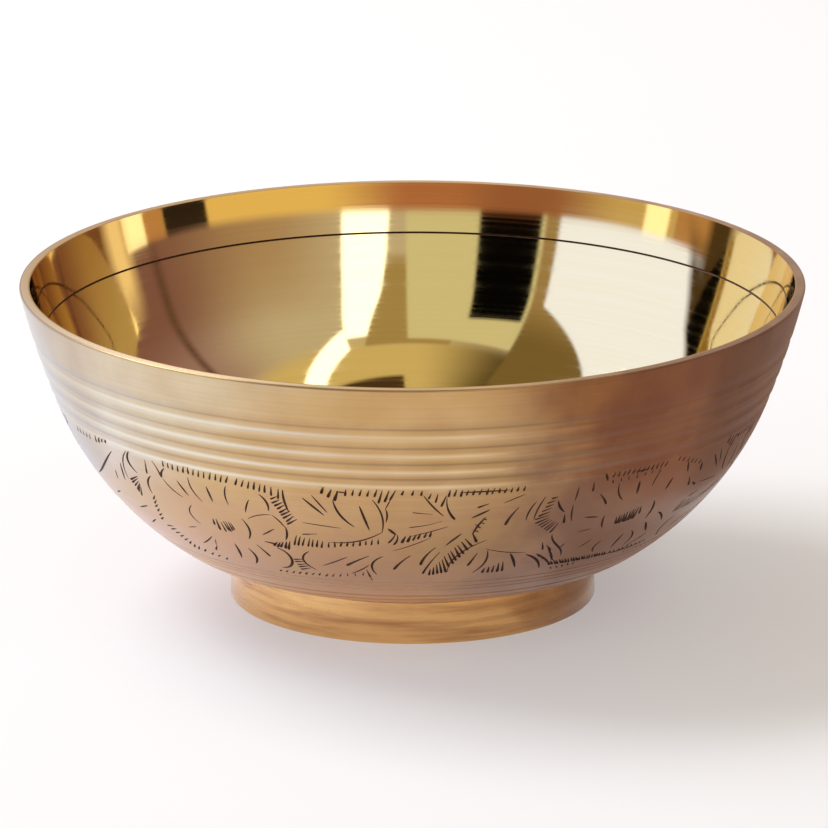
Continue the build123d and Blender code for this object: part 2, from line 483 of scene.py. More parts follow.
# %% The right blossom
right_blossom = [
    # the eye and its two brackets
    *comb(deep, 9, ((37.3, 23.0), (37.9, 20.8)), ((41.7, 24.4), (41.8, 21.2))),
    flick(deep, (42.2, 24.4), (42.7, 22.3)),
    push(bold, (34.3, 24.2), (34.4, 22.6), (35.1, 20.6)),
    push(deep, (45.0, 25.1), (45.7, 22.7), (45.3, 20.1)),
    # veins of the upper petals
    flick(bold, (31.6, 30.4), (32.7, 29.0), (33.6, 27.4)),
    push(fine, (34.9, 32.3), (35.4, 29.8), (36.9, 27.6)),
    push(deep, (39.2, 31.7), (39.6, 28.4)), push(fine, (43.4, 33.1), (42.8, 31.5), (42.6, 29.4)),
    push(deep, (47.2, 30.2), (46.6, 27.3)), push(fine, (30.1, 24.8), (33.0, 24.2)),
    push(hair, (30.0, 20.7), (32.7, 21.0)),
    # veins of the lower petals
    push(bold, (36.9, 16.2), (36.0, 14.4), (36.7, 12.5)), push(fine, (34.3, 17.4), (32.0, 15.2)),
    push(deep, (41.9, 16.7), (41.4, 14.6), (41.2, 12.4)),
    push(bold, (43.7, 17.1), (45.3, 14.4), (44.7, 11.7)),
    push(deep, (46.4, 18.7), (48.7, 15.3)),
    # outline and hatching on the left
    push(fine, (21.6, 31.8), (20.7, 29.0), (20.4, 26.1)),
    push(bold, (24.0, 30.4), (24.6, 28.7), (25.7, 27.2)),
    *comb(bold, 6, ((23.8, 31.5), (22.6, 31.0)), ((22.9, 26.8), (20.7, 26.0))),
    *comb(bold, 6, ((23.0, 26.2), (20.9, 25.0)), ((25.3, 24.4), (24.1, 21.9))),
    flick(deep, (25.9, 26.5), (26.3, 24.1)), push(fine, (27.2, 33.1), (27.1, 29.7)),
    push(fine, (27.0, 28.8), (27.2, 26.5), (27.7, 24.3)),
    push(bold, (24.8, 21.2), (25.4, 19.4), (27.5, 16.6), (28.9, 13.5)),
    push(fine, (28.4, 17.7), (27.6, 16.2)),
    flick(bold, (23.5, 19.1), (24.2, 16.6)),
    *comb(bold, 9, ((24.6, 18.0), (25.8, 16.2)), ((26.6, 14.2), (27.7, 12.3))),
    *comb(bold, 8, ((23.3, 15.6), (24.4, 14.4)), ((25.6, 13.4), (26.9, 11.8))),
    push(deep, (21.1, 15.7), (23.4, 13.9), (25.6, 9.9)),
    # dashes along the top and the bottom of the band
    flick(bold, (29.8, 33.7), (30.0, 31.5)), push(bold, (31.7, 35.3), (32.4, 33.4)),
    *comb(bold, 12, ((33.5, 35.2), (33.2, 34.0)), ((44.2, 35.0), (43.9, 33.8))),
    push(fine, (37.6, 34.2), (40.4, 34.2)),
    *comb(fine, 7, ((33.2, 33.6), (33.5, 32.6)), ((43.2, 33.8), (42.9, 32.8))),
    *comb(bold, 6, ((47.2, 35.2), (46.8, 34.2)), ((53.6, 32.6), (53.2, 31.4))),
    *comb(deep, 22, ((26.6, 12.2), (27.8, 10.4)), ((40.4, 11.4), (41.2, 9.9))),
    *comb(bold, 5, ((28.2, 9.5), (28.9, 8.5)), ((33.4, 9.9), (34.0, 9.0))),
    *comb(bold, 9, ((41.8, 11.2), (42.4, 9.9)), ((51.6, 11.4), (52.2, 10.4))),
    push(bold, (40.6, 10.3), (46.4, 10.0), (52.4, 10.6)),
    # outline on the right
    push(bold, (49.8, 33.1), (50.8, 30.4)), push(bold, (48.3, 20.9), (50.5, 19.1), (51.6, 17.4)),
    flick(deep, (52.3, 28.6), (53.4, 26.2)), flick(deep, (54.2, 26.7), (55.7, 25.6)),
    push(deep, (54.2, 31.6), (55.0, 29.2)),
    *comb(bold, 5, ((49.8, 14.4), (48.7, 13.0)), ((45.5, 10.8), (44.8, 9.6))),
]
print("right blossom:", len(right_blossom), "strokes")

# %% The spray of leaves
spray_left = [
    # upper leaf on the left: veins, edge, and dashes under it
    push(bold, (-17.7, 32.2), (-14.5, 28.2)), push(fine, (-16.1, 33.0), (-15.0, 31.0), (-13.9, 28.9)),
    push(bold, (-12.7, 32.2), (-12.0, 29.0), (-9.7, 25.6)),
    push(bold, (-8.5, 31.1), (-8.0, 28.6), (-7.2, 24.8)),
    push(hair, (-18.6, 25.8), (-12.0, 25.0)), flick(fine, (-16.4, 22.9), (-19.2, 22.4)),
    push(fine, (-6.4, 32.8), (-5.0, 29.0), (-5.2, 24.1)),
    push(fine, (-5.1, 24.4), (-8.4, 22.0), (-14.4, 20.7)),
    push(fine, (-4.3, 30.5), (-4.1, 28.9), (-4.4, 27.1)), push(hair, (-3.4, 33.0), (-4.4, 30.4)),
    *comb(bold, 7, ((-20.4, 21.8), (-21.4, 18.8)), ((-15.8, 20.9), (-16.4, 18.8))),
    *comb(bold, 9, ((-14.6, 20.7), (-14.9, 19.1)), ((-5.8, 22.4), (-6.0, 20.8))),
    # lower leaf on the left
    push(bold, (-19.0, 17.2), (-20.8, 14.2), (-19.0, 10.7)),
    push(fine, (-11.9, 16.4), (-14.4, 14.5), (-17.3, 12.6)),
    flick(deep, (-7.9, 17.0), (-10.2, 15.3), (-12.5, 13.3)),
    push(fine, (-8.1, 14.0), (-10.0, 11.9), (-12.0, 10.4)),
    push(bold, (-5.3, 17.1), (-7.6, 14.0), (-7.0, 10.4)), flick(bold, (-8.8, 12.2), (-8.4, 9.3)),
    push(hair, (-8.4, 9.4), (-8.1, 7.7)),
    *comb(bold, 8, ((-26.9, 9.0), (-27.8, 8.2)), ((-17.0, 9.5), (-17.6, 8.4))),
    *comb(fine, 5, ((-15.6, 9.7), (-16.2, 8.4)), ((-9.7, 11.1), (-9.9, 9.8))),
    # dashes along the top of the band
    *comb(deep, 3, ((-13.9, 35.1), (-14.4, 33.6)), ((-11.7, 34.6), (-12.4, 32.0))),
    push(fine, (-12.0, 34.3), (-10.4, 34.2)),
    *comb(bold, 5, ((-10.3, 34.9), (-10.7, 33.5)), ((-5.6, 35.1), (-6.0, 33.5))),
    *comb(bold, 3, ((-4.6, 35.1), (-5.4, 32.0)), ((-2.7, 35.1), (-3.5, 32.7))),
]
spray_right = [
    # leaf in the middle: veins, edge, and dashes under it
    push(fine, (1.7, 33.9), (3.0, 31.5), (5.0, 28.7)), flick(bold, (5.4, 33.2), (5.6, 30.6), (6.9, 27.7)),
    flick(hair, (3.2, 29.2), (0.0, 29.7)), flick(hair, (4.8, 27.4), (1.6, 26.2), (-0.6, 25.8)),
    push(deep, (-4.1, 25.4), (-2.8, 23.7)), flick(bold, (-2.9, 24.0), (-3.4, 22.6), (-4.2, 21.3)),
    flick(bold, (-2.6, 23.7), (-2.6, 22.4), (-3.3, 20.8)), push(hair, (-0.6, 23.2), (2.5, 24.4), (5.9, 25.9)),
    *comb(deep, 6, ((-1.3, 23.4), (-2.0, 21.2)), ((3.2, 24.6), (2.9, 23.2))),
    push(hair, (-3.5, 18.9), (-0.3, 20.6), (3.1, 22.9)),
    # stalk and the fan of dashes beside it
    flick(deep, (-0.4, 17.4), (-2.0, 15.4), (-3.6, 12.5)), flick(deep, (4.0, 19.9), (2.5, 17.6), (1.4, 14.2)),
    flick(bold, (4.8, 18.4), (3.3, 15.2), (1.9, 10.9)), push(bold, (8.3, 23.8), (7.0, 22.2), (5.7, 20.4)),
    push(fine, (6.7, 11.4), (7.3, 15.8), (9.2, 18.7), (12.8, 21.5)), flick(deep, (10.1, 23.8), (11.1, 21.0)),
    push(bold, (12.0, 27.9), (11.0, 26.1), (10.1, 23.3)), flick(fine, (10.3, 26.2), (11.1, 25.4)),
    *comb(deep, 5, ((3.4, 12.6), (3.1, 10.2)), ((5.2, 16.0), (6.4, 11.2))),
    *comb(deep, 7, ((5.7, 17.0), (6.9, 13.2)), ((9.0, 22.3), (10.3, 19.9))),
    *comb(fine, 4, ((10.2, 24.6), (11.0, 24.0)), ((11.4, 27.8), (12.2, 27.2))),
    # leaves on the right
    flick(bold, (12.2, 31.3), (10.4, 30.5)), push(bold, (9.6, 27.9), (11.0, 28.8), (12.5, 29.8)),
    push(hair, (14.6, 31.2), (18.1, 33.0)), flick(deep, (17.3, 29.8), (16.3, 27.9), (15.5, 25.4)),
    push(fine, (20.2, 30.9), (19.3, 28.8), (19.0, 26.1)),
    flick(deep, (11.6, 17.6), (11.0, 15.6), (10.3, 13.4)),
    push(bold, (13.4, 18.1), (13.6, 15.0), (11.6, 10.6)),
    push(hair, (12.9, 18.8), (16.0, 17.5), (21.0, 16.4)),
    push(deep, (17.9, 16.6), (19.0, 14.2), (20.0, 11.4)),
    *comb(deep, 5, ((13.9, 12.1), (13.7, 10.3)), ((17.0, 14.0), (17.6, 10.3))),
    # dashes along the top of the band
    *comb(bold, 3, ((-1.3, 35.1), (-1.6, 34.0)), ((1.5, 34.9), (1.3, 33.9))),
    *comb(bold, 3, ((2.8, 34.4), (2.4, 33.1)), ((5.2, 33.8), (4.6, 31.0))),
    *comb(bold, 13, ((5.8, 35.0), (5.5, 33.4)), ((17.8, 34.8), (17.6, 33.9))),
    push(fine, (7.4, 34.4), (15.4, 34.3)),
]
spray = spray_left + spray_right
print("spray:", len(spray), "strokes")

# %% The other spray
other_spray = [
    # a long leaf, and the tip of a second one with its hatching, next to the left blossom
    push(bold, (-56.6, 33.4), (-60.0, 30.4), (-64.0, 27.2), (-70.0, 23.6)),
    push(bold, (-55.2, 31.2), (-56.6, 26.6)),
    push(fine, (-58.5, 28.4), (-59.6, 25.8)), push(fine, (-63.0, 21.4), (-66.0, 20.0)),
    push(deep, (-51.0, 35.2), (-52.2, 32.4), (-51.0, 30.2)),
    push(fine, (-51.8, 35.0), (-54.4, 31.0), (-55.0, 27.4)),
    *comb(bold, 6, ((-51.4, 29.2), (-54.4, 27.4)), ((-52.0, 26.4), (-53.6, 23.8))),
    push(fine, (-54.0, 20.8), (-58.0, 19.0)), push(fine, (-55.0, 16.6), (-58.4, 14.4)),
    # dashes along the top of the band
    *comb(deep, 4, ((-57.0, 35.9), (-57.7, 34.9)), ((-60.6, 35.6), (-61.2, 34.0))),
    *comb(bold, 5, ((-63.0, 35.0), (-63.4, 33.8)), ((-68.0, 35.0), (-68.4, 33.8))),
]
one_fifth_round = 72
other_spray += [(places - [one_fifth_round, 0], widths) for places, widths in spray_left]
print("other spray:", len(other_spray), "strokes")

# %% [markdown]
# ## Cutting the band
# Each flat stroke becomes a wedge: a triangle is swept along it, point down, in proportion to the stroke's
# width there. The wedges are then wrapped on the belly: the distance up gives a place on the wall's line,
# the distance across gives an angle, and the height above the flat sheet runs square to the wall. Copies go
# round the bowl, and a Boolean takes them away from it. Every wedge is an operand of its own, because
# wedges that cross would otherwise leave walls inside each other.

# %% The graver: a Geometry Nodes tree
# The triangle is stretched and lifted in half widths: a cut is about half a width wide and 0.9 of one deep.
wedge_stretch, wedge_lift = 1.9, 0.1


def graver_tree():
    """A tree that sweeps flat strokes to wedges, wraps them on the wall and repeats them round the bowl."""
    tree, given = new_tree("wrap the graver's strokes", {
        "Strokes": "Geometry", "Wall line": "Object", "Band radius": "Float", "Copies": "Int",
        "Turn between copies": "Float", "Finish": "Material"}, "Wedges")
    ring = node(tree, "GeometryNodeCurvePrimitiveCircle", {"Resolution": 3, "Radius": 1.0}).outputs["Curve"]
    wedge = node(tree, "GeometryNodeTransform", {"Geometry": ring, "Rotation": (0, 0, -math.pi / 2),
                                                 "Scale": (1.0, wedge_stretch, 1.0),
                                                 "Translation": (0, wedge_lift, 0)}).outputs[0]
    radius = node(tree, "GeometryNodeInputRadius").outputs[0]
    swept = node(tree, "GeometryNodeCurveToMesh", {"Curve": given["Strokes"], "Profile Curve": wedge,
                                                   "Scale": radius, "Fill Caps": True}).outputs[0]
    place = node(tree, "GeometryNodeInputPosition").outputs[0]
    flat = node(tree, "ShaderNodeSeparateXYZ", {0: place}).outputs
    info = node(tree, "GeometryNodeObjectInfo", {"Object": given["Wall line"]}).outputs["Geometry"]
    wall_curve = node(tree, "GeometryNodeMeshToCurve", {"Mesh": info}).outputs[0]
    on = node(tree, "GeometryNodeSampleCurve", {"Curves": wall_curve, "Length": flat[1]}, mode="LENGTH",
              use_all_curves=True).outputs
    outwards = node(tree, "ShaderNodeVectorMath", {0: on["Tangent"], 1: (0, 1, 0)},
                    operation="CROSS_PRODUCT").outputs[0]
    off = node(tree, "ShaderNodeVectorMath", {0: outwards, "Scale": flat[2]}, operation="SCALE").outputs[0]
    lifted = node(tree, "ShaderNodeVectorMath", {0: on["Position"], 1: off}, operation="ADD").outputs[0]
    angle = node(tree, "ShaderNodeMath", {0: flat[0], 1: given["Band radius"]}, operation="DIVIDE").outputs[0]
    to_front = node(tree, "ShaderNodeMath", {0: angle, 1: -math.pi / 2}, operation="ADD").outputs[0]
    turned = node(tree, "ShaderNodeVectorRotate", {"Vector": lifted, "Angle": to_front},
                  rotation_type="Z_AXIS").outputs[0]
    wrapped = node(tree, "GeometryNodeSetPosition", {"Geometry": swept, "Position": turned}).outputs[0]
    facing_out = node(tree, "GeometryNodeFlipFaces", {"Mesh": wrapped}).outputs[0]
    spots = node(tree, "GeometryNodePoints", {"Count": given["Copies"]}).outputs[0]
    index = node(tree, "GeometryNodeInputIndex").outputs[0]
    turn = node(tree, "ShaderNodeMath", {0: index, 1: given["Turn between copies"]},
                operation="MULTIPLY").outputs[0]
    euler = node(tree, "ShaderNodeCombineXYZ", {2: turn}).outputs[0]
    copies = node(tree, "GeometryNodeInstanceOnPoints", {"Points": spots, "Instance": facing_out,
                                                         "Rotation": euler}).outputs[0]
    real = node(tree, "GeometryNodeRealizeInstances", {"Geometry": copies}).outputs[0]
    dark = node(tree, "GeometryNodeSetMaterial", {"Geometry": real, "Material": given["Finish"]}).outputs[0]
    node(tree, "NodeGroupOutput", {0: dark})
    return tree


def flat_strokes(name, strokes):
    """A curve object with one spline for each stroke, drawn flat in metres."""
    curve = bpy.data.curves.new(name, "CURVE")
    curve.dimensions = "3D"
    for places, widths in strokes:
        spline = curve.splines.new("POLY")
        spline.points.add(len(places) - 1)
        for point, (degrees, up), width in zip(spline.points, places, widths):
            point.co = (math.radians(degrees) * band_radius * MM, up * MM, 0, 1)
            point.radius = width / 2 * MM
    sheet = bpy.data.objects.new(name, curve)
    bpy.context.collection.objects.link(sheet)
    return sheet


graver = graver_tree()
print("tree made:", graver.name, "with", len(graver.nodes), "nodes")

# %% Take the strokes out of the bowl
wedge_groups = ("Wedges 1", "Wedges 2", "Wedges 3", "Wedges 4")


def cut_tree():
    """A tree that takes every wedge of four groups out of a closed piece."""
    inputs = {"Piece": "Geometry", **dict.fromkeys(wedge_groups, "Object")}
    tree, given = new_tree("take the strokes out", inputs, "Piece")
    island = node(tree, "GeometryNodeInputMeshIsland").outputs["Island Index"]
    boolean = node(tree, "GeometryNodeMeshBoolean", {"Mesh 1": given["Piece"]}, operation="DIFFERENCE",
                   solver="MANIFOLD")
    for name in wedge_groups:
        info = node(tree, "GeometryNodeObjectInfo", {"Object": given[name]}).outputs["Geometry"]
        single = node(tree, "GeometryNodeSplitToInstances", {"Geometry": info, "Group ID": island},
                      domain="POINT")
        tree.links.new(single.outputs["Instances"], boolean.inputs["Mesh 2"])
    real = node(tree, "GeometryNodeRealizeInstances", {"Geometry": boolean.outputs["Mesh"]}).outputs[0]
    node(tree, "NodeGroupOutput", {0: real})
    return tree


cutting = cut_tree()
print("tree made:", cutting.name, "with", len(cutting.nodes), "nodes")

# %% [markdown]
# ## Finishes
# All of it is brass, and only the way the surface was left changes its look. The inside was buffed until it
# mirrors. The outside shows the lathe's fine rings and spreads its light up and down, under a coat of wax
# and a veil of dust. Stains and dirt in the lines lie over it, with painted shade in the coves, on the lip's
# edge and as a brown cloud on one side, painted highlights on the coves and the lip, and a painted
# reflection low on the belly. The cuts hold the dark tarnish that polishing leaves behind.

# %% Satin turned brass
# Rings about 0.4 mm apart break the light across the turning, so highlights stretch and the colour looks
# soft. Sizes are in millimetres, angles in radians to the right of the front, and the lean in radians for a
# metre up.
# The first colour is dirt and painted shade, the second painted highlight, the third painted side shade.
dirt_and_shade_brown, highlight_gold, side_shade_brown = "#5c3c28", "#fbeac4", "#8a5a43"
ring_length, cloud_size = 1000 / 9, 9
ring_contrast, cloud_contrast, cloud_offset = 0.8, 1.2, -0.5
low_reach, heel_reach, low_share = (46, 20), (17, 11), 0.7
stain_from, stain_full, stain_share = 0.45, 0.68, 0.6
# Where the painted shade on one side starts, how it leans with height, its ragged edge and where it ends.
side_shade_lean, side_shade_ragged, side_shade_fade, side_shade_end = 3.7, 0.5, 0.48, (3.0, 2.5)
thin_side_shade, thin_from, thin_to = 0.78, 0.35, 0.6
ring_low, ring_high, rough_spread = 0.3, 0.7, 0.05


def new_material(name):
    """A material with an empty node tree and its output node."""
    made = bpy.data.materials.new(name)
    made.use_nodes = True
    made.node_tree.nodes.clear()
    return made, made.node_tree, node(made.node_tree, "ShaderNodeOutputMaterial")


def turned_brass(name, light, dark, low, heel, stain, stain_size, tarnish, side_shade_from, roughness, ring,
                 anisotropy):
    """Brass with the lathe's rings: two close colours, and over them layers of other colours by their shares.

    The layers are a low colour and a heel colour that paint a reflection on the lower belly and the heel,
    stains, dirt and painted shade, painted highlights, and a brown cloud of painted shade on one side. That
    shade runs from an angle right of the front to one behind, leans with the height and has a ragged edge.
    """
    made, tree, output = new_material(name)
    place = node(tree, "ShaderNodeTexCoord").outputs["Object"]
    ring_scale = [1 / (size * MM) for size in (ring_length, ring_length, ring)]
    long_rings = node(tree, "ShaderNodeMapping", {"Vector": place, "Scale": ring_scale}).outputs[0]
    rings = node(tree, "ShaderNodeTexNoise", {"Vector": long_rings, "Scale": 1.0, "Detail": 3.0}).outputs[0]
    clouds = node(tree, "ShaderNodeTexNoise", {"Vector": place, "Scale": 1 / (cloud_size * MM),
                                               "Detail": 4.0}).outputs[0]
    cloudy = node(tree, "ShaderNodeMath", {0: clouds, 1: cloud_contrast, 2: cloud_offset},
                  operation="MULTIPLY_ADD").outputs[0]
    blend = node(tree, "ShaderNodeMath", {0: rings, 1: ring_contrast, 2: cloudy},
                 operation="MULTIPLY_ADD").outputs[0]
    colour = node(tree, "ShaderNodeMix", {"Factor": blend, 6: linear(dark), 7: linear(light)},
                  data_type="RGBA").outputs[2]

    east, north, height = node(tree, "ShaderNodeSeparateXYZ", {0: place}).outputs
    layers = []
    # Painted reflection: a browner colour over the lower belly and a brighter one over the heel.
    for (top, end), tint in ((low_reach, low), (heel_reach, heel)):
        lower = node(tree, "ShaderNodeMapRange", {"Value": height, "From Min": top * MM, "From Max": end * MM,
                                                  "To Max": low_share},
                     interpolation_type="SMOOTHSTEP").outputs[0]
        layers.append((lower, tint))

    long, high = stain_size
    stain_scale = [1 / (size * MM) for size in (long, long, high)]
    smeared = node(tree, "ShaderNodeMapping", {"Vector": place, "Scale": stain_scale}).outputs[0]
    spots = node(tree, "ShaderNodeTexNoise", {"Vector": smeared, "Scale": 1.0, "Detail": 4.0,
                                              "Roughness": 0.6}).outputs[0]
    stained = node(tree, "ShaderNodeMapRange", {"Value": spots, "From Min": stain_from,
                                                "From Max": stain_full, "To Max": stain_share}).outputs[0]
    # Dirt and painted shade mix in brown; painted highlights mix in pale gold.
    dirt_and_shade = node(tree, "ShaderNodeAttribute", attribute_name="dirt").outputs["Fac"]
    painted_highlight = node(tree, "ShaderNodeMath", {0: dirt_and_shade, 1: -1.0}, operation="MULTIPLY",
                  use_clamp=True).outputs[0]
    layers += [(stained, stain), (dirt_and_shade, dirt_and_shade_brown), (painted_highlight, highlight_gold)]

    # Painted shade on one side: a brown cloud from right of the front round to the back, as dark as the
    # tarnish share.
    south = node(tree, "ShaderNodeMath", {0: north, 1: -1.0}, operation="MULTIPLY").outputs[0]
    turned = node(tree, "ShaderNodeMath", {0: east, 1: south}, operation="ARCTAN2").outputs[0]
    leaning = node(tree, "ShaderNodeMath", {0: height, 1: -side_shade_lean, 2: turned},
                   operation="MULTIPLY_ADD").outputs[0]
    ragged = node(tree, "ShaderNodeMath", {0: clouds, 1: side_shade_ragged, 2: leaning},
                  operation="MULTIPLY_ADD").outputs[0]
    cloud = node(tree, "ShaderNodeMapRange", {"Value": clouds, "From Min": thin_from, "From Max": thin_to,
                                              "To Min": thin_side_shade * tarnish, "To Max": tarnish}).outputs[0]
    for start, end in ((side_shade_from, side_shade_from + side_shade_fade), side_shade_end):
        inside = node(tree, "ShaderNodeMapRange", {"Value": ragged, "From Min": start, "From Max": end},
                      interpolation_type="SMOOTHSTEP").outputs[0]
        cloud = node(tree, "ShaderNodeMath", {0: cloud, 1: inside}, operation="MULTIPLY").outputs[0]
    layers.append((cloud, side_shade_brown))
    for share, tint in layers:
        colour = node(tree, "ShaderNodeMix", {"Factor": share, 6: colour, 7: linear(tint)},
                      data_type="RGBA").outputs[2]

    rough = node(tree, "ShaderNodeMapRange", {"Value": rings, "From Min": ring_low, "From Max": ring_high,
                                              "To Min": roughness - rough_spread,
                                              "To Max": roughness + rough_spread}).outputs[0]
    bump = node(tree, "ShaderNodeBump", {"Height": rings, "Strength": 0.25, "Distance": 0.02 * MM}).outputs[0]
    around = node(tree, "ShaderNodeTangent", direction_type="RADIAL", axis="Z").outputs[0]
    metal = node(tree, "ShaderNodeBsdfPrincipled", {
        "Base Color": colour, "Metallic": 1.0, "Roughness": rough, "Anisotropic": anisotropy,
        "Anisotropic Rotation": 0.25, "Tangent": around, "Normal": bump, "Coat Weight": 0.85,
        "Coat Roughness": 0.3, "Sheen Weight": 0.1, "Sheen Roughness": 0.6}).outputs[0]
    tree.links.new(metal, output.inputs["Surface"])
    return made


# The low and heel colours paint a reflection on the bowl, and the tarnish share paints shade on each piece's
# right side.
satin_brass = turned_brass(
    "satin turned brass", light="#ddb97e", dark="#c2945a", low="#c28a66", heel="#f6b070", stain="#c9a05a",
    stain_size=(18, 9), tarnish=0.85, side_shade_from=0.2, roughness=0.36, ring=0.4, anisotropy=0.75)
foot_brass = turned_brass(
    "satin foot brass", light="#e8bd7c", dark="#cf9752", low="#ecba74", heel="#ecba74", stain="#9a5630",
    stain_size=(26, 2.0), tarnish=0.7, side_shade_from=0.75, roughness=0.24, ring=0.35, anisotropy=0.6)
print("made", satin_brass.name, "and", foot_brass.name)

# %% Mirror polished brass
# Buffing leaves a clear yellow mirror with only faint rings, which soften a reflection a little across them.
mirror_ring_length, mirror_ring = 1000 / 6, 0.5
polished_brass, tree, output = new_material("mirror polished brass")
place = node(tree, "ShaderNodeTexCoord").outputs["Object"]
ring_scale = [1 / (size * MM) for size in (mirror_ring_length, mirror_ring_length, mirror_ring)]
long_rings = node(tree, "ShaderNodeMapping", {"Vector": place, "Scale": ring_scale}).outputs[0]
rings = node(tree, "ShaderNodeTexNoise", {"Vector": long_rings, "Scale": 1.0, "Detail": 2.0}).outputs[0]
rough = node(tree, "ShaderNodeMapRange", {"Value": rings, "From Min": ring_low, "From Max": ring_high,
                                          "To Min": 0.03, "To Max": 0.08}).outputs[0]
colour = node(tree, "ShaderNodeMix", {"Factor": rings, 6: linear("#efd596"), 7: linear("#f2dca4")},
              data_type="RGBA").outputs[2]
bump = node(tree, "ShaderNodeBump", {"Height": rings, "Strength": 0.05, "Distance": 0.01 * MM}).outputs[0]
metal = node(tree, "ShaderNodeBsdfPrincipled", {"Base Color": colour, "Metallic": 1.0, "Roughness": rough,
                                                "Normal": bump}).outputs[0]
tree.links.new(metal, output.inputs["Surface"])
print("made", polished_brass.name)

# %% Dark tarnish in the cuts, and the solder
# Tarnish is brown-black and nearly dull, because the cut's floor was never buffed.
tarnish_grain = 1.2
cut_tarnish, tree, output = new_material("dark tarnish in the cuts")
place = node(tree, "ShaderNodeTexCoord").outputs["Object"]
grain = node(tree, "ShaderNodeTexNoise", {"Vector": place, "Scale": 1 / (tarnish_grain * MM),
                                          "Detail": 2.0}).outputs[0]
colour = node(tree, "ShaderNodeMix", {"Factor": grain, 6: linear("#34201a"), 7: linear("#634434")},
              data_type="RGBA").outputs[2]
metal = node(tree, "ShaderNodeBsdfPrincipled", {"Base Color": colour, "Metallic": 0.6,
                                                "Roughness": 0.55}).outputs[0]
tree.links.new(metal, output.inputs["Surface"])

# Brazing solder flowed and set without being touched again: duller, greyer, and a little lumpy.
solder_lump = 2.5
solder, tree, output = new_material("flowed brazing solder")
place = node(tree, "ShaderNodeTexCoord").outputs["Object"]
lumps = node(tree, "ShaderNodeTexNoise", {"Vector": place, "Scale": 1 / (solder_lump * MM),
                                          "Detail": 3.0}).outputs[0]
colour = node(tree, "ShaderNodeMix", {"Factor": lumps, 6: linear("#8d6f45"), 7: linear("#c2a673")},
              data_type="RGBA").outputs[2]
bump = node(tree, "ShaderNodeBump", {"Height": lumps, "Strength": 0.6, "Distance": 0.2 * MM}).outputs[0]
metal = node(tree, "ShaderNodeBsdfPrincipled", {"Base Color": colour, "Metallic": 1.0, "Roughness": 0.5,
                                                "Normal": bump}).outputs[0]
tree.links.new(metal, output.inputs["Surface"])
print("made", cut_tarnish.name, "and", solder.name)

# %% [markdown]
# ## The bowl
# The blank is turned first and engraved afterwards, as in the workshop. Copies of a drawing stand two
# fifths of a turn apart, and those of the first spray a little less, so that they clear the blossoms.

# %% Turn and engrave the bowl
blank = row_of_points("blank", profile, dirt)
with_nodes(blank, lathe, {"Segments": segments, "Inside from": inside_from, "Outside finish": satin_brass,
                          "Inside finish": polished_brass, "Line finish": cut_tarnish})
blank = made_plain(blank, "blank")
band_reach, band_points = 40, 400
belly_line = row_of_points("belly_line", on_wall(np.linspace(heel_top, heel_top + band_reach, band_points)))
two_fifths = 2 / 5 * math.tau
spray_turn = math.radians(-142.3)
drawings = ((left_blossom, 3, two_fifths), (right_blossom, 2, two_fifths), (spray, 3, spray_turn),
            (other_spray, 2, -two_fifths))
wedges = {}
for name, (strokes, copies, turn) in zip(wedge_groups, drawings):
    sheet = flat_strokes(name, strokes)
    with_nodes(sheet, graver, {"Wall line": belly_line, "Band radius": band_radius * MM, "Copies": copies,
                               "Turn between copies": turn, "Finish": cut_tarnish})
    wedges[name] = made_plain(sheet, name)
with_nodes(blank, cutting, wedges)
bowl = made_plain(blank, "engraved_bowl")
for tool in (belly_line, *wedges.values()):
    bpy.data.meshes.remove(tool.data)
crease = math.radians(14)
bowl.data.set_sharp_from_angle(angle=crease)
bowl.data.calc_loop_triangles()
print("bowl:", len(bowl.data.loop_triangles), "triangles,", [m.name for m in bowl.data.materials])

# %% [markdown]
# ## The foot ring and its solder
# The foot is a plain turned ring, a little narrower at the top, with its standing edges rounded. Its top
# slopes with the bowl's seat, and a thin layer of solder fills the joint and ends in a small bead inside.

# %% Turn the foot ring and the solder
foot_wall = 3.0
foot_edge = 0.4
foot_top_edge = 0.08
solder_bead = 1.2
bead_edge = 0.1
bore = foot_radius - foot_wall


def foot_top(radius):
    """Height of the foot ring's sloping top."""
    return seat_height(radius) - solder_thickness


def rounded(points, sizes):
    """A closed row of points with some corners rounded: a size of 0 keeps a corner sharp."""
    points = [np.array(point, dtype=float) for point in points]
    row = []
    for i, (at, size) in enumerate(zip(points, sizes)):
        before, after = points[i - 1], points[(i + 1) % len(points)]
        if size:
            start = at + (before - at) / np.linalg.norm(before - at) * size
            end = at + (after - at) / np.linalg.norm(after - at) * size
            row += [start, *corner(start, at, end), end]
        else:
            row.append(at)
    return np.array(row + row[:1])


def turned_piece(name, points, finish):
    """A closed row of points turned about Z, with one finish all over."""
    ring = row_of_points(name, points)
    with_nodes(ring, lathe, {"Segments": segments, "Inside from": len(points), "Outside finish": finish,
                             "Inside finish": finish, "Line finish": finish})
    piece = made_plain(ring, name)
    piece.data.set_sharp_from_angle(angle=crease)
    piece.data.calc_loop_triangles()
    print(name + ":", len(piece.data.loop_triangles), "triangles")
    return piece


top_radius = foot_radius - foot_taper
foot = turned_piece("turned_foot", rounded(
    [(bore, 0), (foot_radius, 0), (top_radius, foot_top(top_radius)), (bore, foot_top(bore))],
    [foot_edge, foot_edge, foot_top_edge, 0]), foot_brass)
bead_radius = bore - solder_bead
seam = turned_piece("solder_bead", rounded(
    [(bore, foot_top(bore) - solder_bead), (bore, foot_top(bore)), (top_radius, foot_top(top_radius)),
     (top_radius, seat_height(top_radius)), (bead_radius, seat_height(bead_radius))],
    [bead_edge, 0, 0, 0, bead_edge]), solder)

# %% [markdown]
# ## Floor, light and camera
# A white floor, a painted room for the mirror inside to show, and one broad key light from the left and a
# little behind. Low panels lie beside and under the bowl, cool on the left and brown on the right. Only
# reflections show them, and they draw the pale and the brown side of the satin.

